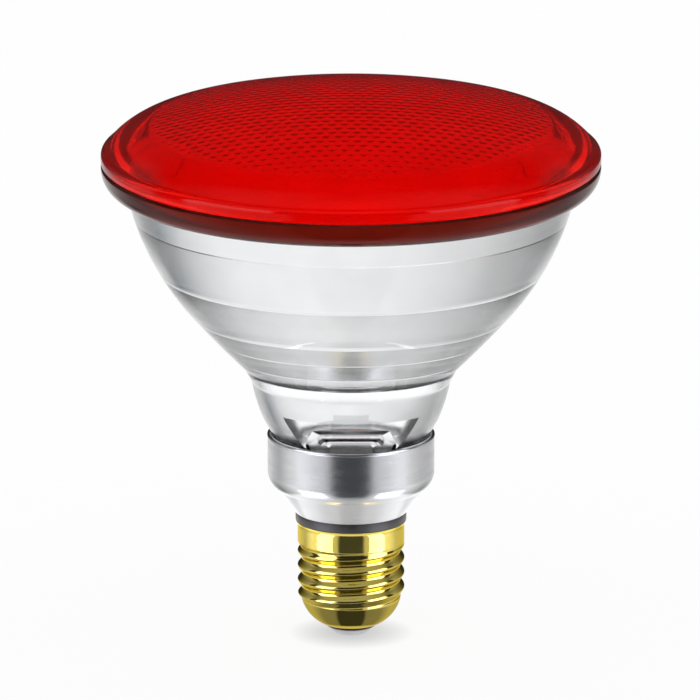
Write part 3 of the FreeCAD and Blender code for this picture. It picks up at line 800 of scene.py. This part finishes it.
def make_shell(brass):
    verts = []
    heights = [shell_z + (ring_z - shell_z) * i / thread_rows for i in range(thread_rows + 1)]
    inner_heights = [ring_z + (shell_z - ring_z) * i / inner_rows for i in range(inner_rows + 1)]
    rows = [(shell_outer_r, z) for z in heights] + [(shell_inner_r, z) for z in inner_heights]
    for radius_at, z in rows:
        for i in range(round_steps):
            angle = 2 * math.pi * i / round_steps
            r = radius_at(z, angle)
            verts.append((r * math.cos(angle), r * math.sin(angle), z))
    faces = []
    for row in range(len(rows)):
        low = row * round_steps
        high = (row + 1) % len(rows) * round_steps
        for i in range(round_steps):
            j = (i + 1) % round_steps
            faces.append((low + i, low + j, high + j, high + i))
    mesh = bpy.data.meshes.new("thread_shell")
    mesh.from_pydata(verts, [], faces)
    return new_piece("thread_shell", finished(mesh, sharp_degrees=35), "brass", "screw_shell", brass)


def make_insulator(black):
    inset = brass_sheet + seat_gap
    seat_z = shell_z - seat_gap
    lip = (insulator_lip_r, insulator_z)
    mouth = (shell_cone_r(seat_z, inset), seat_z)
    top = (shell_cone_r(insulator_top_z, inset), insulator_top_z)
    outline = [(wire_hole_r, insulator_z), lip]
    outline += bulge(lip, (shell_mouth_r, seat_z), -insulator_lip_radius, steps=8) + [mouth]
    outline += bulge(mouth, top, inset - shell_cone_radius, steps=12) + [(wire_hole_r, insulator_top_z)]
    mesh = finished(turned_mesh("end_insulator", outline, steps=small_round_steps))
    return new_piece("end_insulator", mesh, "black_glass", "base_insulator", black)


def make_contact(tin):
    inner_z = contact_z + contact_sheet
    flat = (contact_flat_r, contact_z)
    outline = [(contact_hole_r, contact_z), flat]
    outline += bulge(flat, (contact_rim_r, insulator_z), -contact_bulge, steps=12)
    outline += [(contact_rim_r - contact_rim_inset, insulator_z),
                (contact_flat_r - contact_flat_inset, inner_z), (contact_hole_r, inner_z)]
    mesh = finished(turned_mesh("end_contact", outline, steps=small_round_steps), sharp_degrees=40)
    return new_piece("end_contact", mesh, "tinned_contact", "centre_contact", tin)


def make_solder(tin):
    """Blob of solder on the contact, a little uneven round its edge."""
    plug_r = contact_hole_r - solder_plug_gap
    plug_z = contact_z + contact_sheet
    flat = (solder_flat_r, 0.0)
    edge = (solder_r, contact_z)
    outline = [(0, 0), flat] + bulge(flat, edge, -solder_bulge, steps=10)
    outline += [(plug_r, contact_z), (plug_r, plug_z), (0, plug_z)]
    mesh = turned_mesh("solder_blob", outline, closed=False, steps=96)
    for vertex in mesh.vertices:
        across = Vector((vertex.co.x, vertex.co.y, 0))
        if across.length > plug_r + solder_edge_r:
            wave = noise.noise(across.normalized() * solder_waves) + solder_shrink
            vertex.co -= across * (solder_unevenness * wave)
    return new_piece("solder_blob", finished(mesh), "solder", "contact_solder", tin)


def dress(nodes, made):
    """Gives carried-over nodes a material."""
    for name in nodes:
        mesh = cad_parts[name].data
        mesh.materials.clear()
        mesh.materials.append(made)


# Studio

def make_camera():
    data = bpy.data.cameras.new("camera")
    data.lens = view_lens
    data.sensor_width = view_sensor
    camera = bpy.data.objects.new("camera", data)
    bpy.context.scene.collection.objects.link(camera)
    distance = view_width * view_lens / view_sensor
    back = Vector((0, -math.cos(view_elevation), math.sin(view_elevation)))
    camera.location = view_target + back * distance
    camera.rotation_mode = "QUATERNION"
    camera.rotation_quaternion = (-back).to_track_quat("-Z", "Y")
    bpy.context.scene.camera = camera


def make_floor():
    """White floor that keeps the lamp's soft shadow and is lifted to white where the camera sees it."""
    made = bpy.data.materials.new("floor")
    made.use_nodes = True
    made.node_tree.nodes.clear()
    diffuse = add(made, "BsdfDiffuse", [("Color", (0.9, 0.9, 0.9, 1))])
    contact = add(made, "AmbientOcclusion", [("Distance", shadow_reach)], samples=8)
    shadow = add(made, "MapRange", [("Value", contact.outputs["AO"]), ("To Min", shadow_light)])
    white = add(made, "Emission", [("Color", (1, 1, 1, 1)), ("Strength", shadow.outputs["Result"])])
    camera_ray = add(made, "LightPath").outputs["Is Camera Ray"]
    lift = add(made, "Math", [(0, camera_ray), (1, floor_lift)], operation="MULTIPLY").outputs[0]
    mixed = add(made, "MixShader", [("Fac", lift), (1, diffuse.outputs[0]), (2, white.outputs[0])])
    add(made, "OutputMaterial", [("Surface", mixed.outputs[0])])
    mesh = bpy.data.meshes.new("floor")
    s = floor_reach
    mesh.from_pydata([(-s, -s, 0), (s, -s, 0), (s, s, 0), (-s, s, 0)], [], [(0, 1, 2, 3)])
    mesh.materials.append(made)
    floor = bpy.data.objects.new("floor", mesh)
    bpy.context.scene.collection.objects.link(floor)
    floor.visible_glossy = False
    floor.visible_transmission = False


def make_ground():
    """Floor near the base as only metal and glossy faces show it, with the base's shadow painted on it,
    darkest in front.
    """
    made = bpy.data.materials.new("ground")
    made.use_nodes = True
    made.node_tree.nodes.clear()
    split = add(made, "SeparateXYZ", [("Vector", add(made, "TexCoord").outputs["Object"])])
    across = add(made, "CombineXYZ", [("X", split.outputs["X"]), ("Y", split.outputs["Y"])])
    reach = add(made, "VectorMath", [(0, across.outputs["Vector"])], operation="LENGTH").outputs["Value"]
    # Painted shadow of the base, round the ground's middle, with a lighter painted patch right under the
    # contact.
    shade = azimuth_ramp(made, azimuth_of(made, split), painted_ground_shadow)
    near = blend(made, reach, ground_patch_r, ground_patch_r + mm, ground_patch_light, shade)
    colour = blend(made, reach, ground_shade_r, ground_r, near, ground_far_light)
    glow = add(made, "Emission", [("Color", colour)])
    add(made, "OutputMaterial", [("Surface", glow.outputs[0])])
    mesh = turned_mesh("ground", [(0, ground_z), (ground_r, ground_z)], closed=False, steps=96)
    mesh.materials.append(made)
    ground = bpy.data.objects.new("ground", mesh)
    bpy.context.scene.collection.objects.link(ground)
    ground.visible_camera = False
    ground.visible_diffuse = False
    ground.visible_transmission = False
    ground.visible_shadow = False


def make_light(name, place, towards, width, height, power, colour=(1.0, 1.0, 1.0)):
    """Flat light near the base that only metal and glossy faces in front of it show."""
    data = bpy.data.lights.new(name, "AREA")
    data.shape = "RECTANGLE"
    data.size = width
    data.size_y = height
    data.energy = power
    data.color = colour
    light = bpy.data.objects.new(name, data)
    bpy.context.scene.collection.objects.link(light)
    light.location = place
    light.rotation_mode = "QUATERNION"
    light.rotation_quaternion = towards.to_track_quat("-Z", "Y")
    light.visible_camera = False
    light.visible_diffuse = False
    light.visible_transmission = False


def make_windows():
    """Bright upright window at each side of the base."""
    for name, azimuth in (("left_window", -window_azimuth), ("right_window", window_azimuth)):
        away = Vector((math.sin(azimuth), -math.cos(azimuth), 0))
        place = away * window_distance + Vector((0, 0, window_z))
        make_light(name, place, -away, window_width, window_height, window_power, (0.85, 0.85, 1.0))


def blend(made, source, low, high, first, second):
    """Colour that goes from one to another while a number goes from low to high."""
    share = add(made, "MapRange", [("Value", source), ("From Min", low), ("From Max", high)])
    return add(made, "MixRGB", [("Fac", share.outputs["Result"]), (1, first), (2, second)]).outputs["Color"]


def azimuth_of(made, split):
    """Angle round the lamp from the camera's side, as a share of the full turn from behind on the left."""
    front = add(made, "Math", [(0, split.outputs["Y"]), (1, -1.0)], operation="MULTIPLY")
    turn = add(made, "Math", [(0, split.outputs["X"]), (1, front.outputs[0])], operation="ARCTAN2")
    return add(made, "MapRange", [("Value", turn.outputs[0]), ("From Min", -math.pi),
                                  ("From Max", math.pi)]).outputs["Result"]


def azimuth_ramp(made, azimuth, stops):
    ramp = add(made, "ValToRGB", [("Fac", azimuth)])
    fill_ramp(ramp, [((angle + 180) / 360, colour) for angle, colour in stops])
    return ramp.outputs["Color"]


def grey(value, cast=0.0):
    """Neutral light, or with a cast towards teal."""
    return (value * (1 - cast), value, value * (1 + cast))


# Light round the lamp, as (azimuth from the camera's side, light), of the ground and of the rooms at some
# elevations. Metal and glossy faces reflect the first room, and the second is seen through glass.
dark = grey(0.02)
dim = grey(0.05)
window_glow = (2.6, 2.6, 3.1)
# Painted shadow of the base on the ground, darkest in front. The patch under the contact is a lighter painted
# spot.
painted_ground_shadow = [
    (-180, grey(0.65)), (-90, grey(0.60)), (-60, grey(0.28)), (-30, grey(0.25)), (-24, dim), (24, dim),
    (30, grey(0.25)), (60, grey(0.28)), (90, grey(0.60)), (180, grey(0.65))]
ground_patch_light = (*grey(0.80), 1)
ground_far_light = (*grey(0.88), 1)
window_ring = [
    (-180, dark), (-150, dim), (-104, grey(0.5)), (-100, dim), (-84, dim), (-80, window_glow),
    (-38, window_glow), (-35, grey(0.03)), (35, grey(0.03)), (38, window_glow), (80, window_glow), (84, dim),
    (100, dim), (104, grey(0.5)), (150, dim), (180, dark)]
metal_room = [
    (-90, [(-180, grey(0.90)), (180, grey(0.90))]),
    (-76, [(-180, grey(0.85)), (-36, grey(0.90)), (-29, grey(0.60)), (29, grey(0.60)), (36, grey(0.90)),
           (180, grey(0.85))]),
    (-64, [(-180, grey(0.70)), (-90, grey(0.80)), (-75, grey(0.90)), (-34, grey(0.90)),
           (-28, grey(0.10, 0.1)), (28, grey(0.10, 0.1)), (34, grey(0.90)), (75, grey(0.90)),
           (90, grey(0.80)), (180, grey(0.70))]),
    (-32, [(-180, grey(0.80)), (-170, grey(0.80)), (-157, grey(0.55)), (-147, grey(0.12)),
           (-130, grey(0.45)), (-115, grey(0.72)), (-93, grey(1.10)), (-67, grey(1.10)), (-50, grey(0.75)),
           (-32, grey(0.70)), (-26, grey(0.08, 0.1)), (26, grey(0.08, 0.1)), (32, grey(0.70)),
           (50, grey(0.75)), (67, grey(1.10)), (93, grey(1.10)), (112, grey(0.85)), (130, grey(0.50)),
           (147, grey(0.25)), (157, grey(0.60)), (180, grey(0.80))]),
    (-15, [(-180, grey(0.95)), (-147, grey(1.00)), (-116, grey(0.62)), (-94, grey(1.35)),
           (-67, grey(1.20)), (-50, grey(0.80)), (-31, grey(0.75)), (-25, grey(0.08, 0.1)),
           (25, grey(0.08, 0.1)), (31, grey(0.75)), (50, grey(0.80)), (67, grey(1.15)), (90, grey(1.35)),
           (112, grey(0.80)), (144, grey(0.85)), (180, grey(0.95))]),
    (-11, [(-180, dark), (-150, dim), (-104, grey(0.5)), (-100, dim), (-84, dim), (-80, grey(1.2)),
           (-50, grey(0.80)), (-31, grey(0.75)), (-25, dim), (25, dim), (31, grey(0.75)), (50, grey(0.80)),
           (80, grey(1.2)), (84, dim), (100, dim), (104, grey(0.5)), (150, dim), (180, dark)]),
    (-2, window_ring),
    (30, window_ring),
    (40, [(-180, dark), (-120, dark), (-85, grey(0.4)), (85, grey(0.4)), (120, dark), (180, dark)]),
    (60, [(-180, grey(0.01)), (-120, grey(0.01)), (-85, grey(0.5)), (85, grey(0.5)), (120, grey(0.01)),
          (180, grey(0.01))]),
    (90, [(-180, dim), (180, dim)]),
]
glass_room = [
    (-90, [(-180, grey(0.84)), (180, grey(0.84))]),
    (-78, [(-180, grey(0.50)), (-160, grey(0.62)), (-136, grey(0.88)), (-60, grey(1.02)), (0, grey(0.98)),
           (60, grey(0.92)), (136, grey(0.76)), (160, grey(0.60)), (180, grey(0.50))]),
    (-60, [(-180, grey(0.85)), (-136, grey(0.78)), (-90, grey(0.96)), (-40, grey(1.00)), (40, grey(0.97)),
           (90, grey(0.80)), (136, grey(0.66)), (180, grey(0.85))]),
    (-45, [(-180, grey(0.85)), (-150, grey(0.62)), (-125, grey(0.72)), (-90, grey(0.98)), (0, grey(1.08)),
           (90, grey(0.70)), (115, grey(0.48)), (150, grey(0.52)), (180, grey(0.85))]),
    (-28, [(-180, grey(0.90)), (-166, grey(0.80)), (-156, grey(0.55)), (-146, grey(0.10, 0.1)),
           (-133, grey(0.40, 0.1)), (-118, grey(0.75)), (-85, grey(0.95)), (0, grey(0.92)),
           (80, grey(0.85)), (110, grey(0.60)), (144, grey(0.35)), (156, grey(0.60)), (168, grey(0.75)),
           (180, grey(0.90))]),
    (-10, [(-180, grey(0.90)), (-150, grey(0.7)), (-120, grey(0.9)), (0, grey(0.90)), (120, grey(0.8)),
           (180, grey(0.90))]),
    (6, [(-180, grey(1.2)), (180, grey(1.2))]),
    (50, [(-180, grey(1.3)), (180, grey(1.3))]),
    (78, [(-180, grey(1.3)), (-90, grey(1.7)), (0, grey(2.2)), (90, grey(1.7)), (180, grey(1.3))]),
]


def room_light(world, azimuth, elevation, room):
    """Light of one room by direction: a ring round the lamp for each elevation, one blended into the next."""
    light = None
    before = None
    for degrees, stops in room:
        ring = azimuth_ramp(world, azimuth, stops)
        if light is None:
            light = ring
        else:
            light = blend(world, elevation, math.radians(before), math.radians(degrees), light, ring)
        before = degrees
    return light


def make_world():
    """Studio that metal and glass show, with even white light for matt faces and white behind the lamp."""
    world = bpy.data.worlds.new("studio")
    world.use_nodes = True
    world.node_tree.nodes.clear()
    world.cycles.sampling_method = "NONE"
    bpy.context.scene.world = world
    split = add(world, "SeparateXYZ", [("Vector", add(world, "TexCoord").outputs["Generated"])])
    azimuth = azimuth_of(world, split)
    elevation = add(world, "Math", [(0, split.outputs["Z"])], operation="ARCSINE").outputs[0]
    metal, glass = (room_light(world, azimuth, elevation, room) for room in (metal_room, glass_room))
    path = add(world, "LightPath")
    light = add(world, "MixRGB", [("Fac", path.outputs["Is Transmission Ray"]), (1, metal), (2, glass)])
    for kind in ("Is Diffuse Ray", "Is Camera Ray"):
        light = add(world, "MixRGB", [("Fac", path.outputs[kind]), (1, light.outputs["Color"]),
                                      (2, (1, 1, 1, 1))])
    back = add(world, "Background", [("Color", light.outputs["Color"]), ("Strength", 1.0)])
    add(world, "OutputWorld", [("Surface", back.outputs[0])])


make_camera()
make_floor()
make_ground()
make_windows()
make_light("under_light", Vector((0, 0, under_light_z)), Vector((0, 0, 1)), under_light_size,
           under_light_size, under_light_power)
make_world()
make_lens(red_glass())
make_bowl(bowl_glass(), mirror_film(), stained_glass(), painted_shade_glass())
make_skirt(drawn_aluminium())
make_ring(plain("phenolic", (0.020, 0.019, 0.018), (0.032, 0.030, 0.028), 400, 0.34, 0.46, 0.004 * mm))
make_shell(rolled_brass())
make_insulator(plain("vitrite", (0.012, 0.010, 0.014), (0.022, 0.018, 0.026), 200, 0.08, 0.16))
make_contact(plain("tinned_sheet", (0.55, 0.54, 0.57), (0.66, 0.65, 0.68), 300, 0.26, 0.40, 0.01 * mm,
                   metallic=1.0))
make_solder(plain("solder_metal", (0.48, 0.48, 0.50), (0.62, 0.62, 0.64), 500, 0.24, 0.42, 0.02 * mm,
                  metallic=1.0))
dress(["filament"], plain("tungsten", (0.30, 0.30, 0.31), (0.42, 0.42, 0.43), 900, 0.30, 0.45, metallic=1.0))
dress(["left_post", "right_post", "support_wire", "shell_lead", "contact_lead"],
      plain("nickel_wire", (0.58, 0.56, 0.53), (0.68, 0.66, 0.62), 600, 0.22, 0.34, metallic=1.0))
dress(["left_ferrule", "right_ferrule"],
      plain("ferrule_steel", (0.50, 0.49, 0.48), (0.60, 0.59, 0.57), 400, 0.30, 0.42, metallic=1.0))
dress(["support_bead", "exhaust_tube"],
      plain("clear_rod", (0.95, 0.97, 0.96), (0.98, 0.98, 0.98), 200, 0.02, 0.05, transmission_weight=1.0))
dress(["fuse_sleeve"], plain("sleeve_ceramic", (0.74, 0.72, 0.66), (0.82, 0.80, 0.75), 300, 0.45, 0.60))
dress(["basing_cement"],
      plain("basing_cement", (0.62, 0.58, 0.50), (0.72, 0.68, 0.60), 500, 0.75, 0.90, 0.05 * mm))
bpy.context.scene.view_settings.view_transform = "Standard"
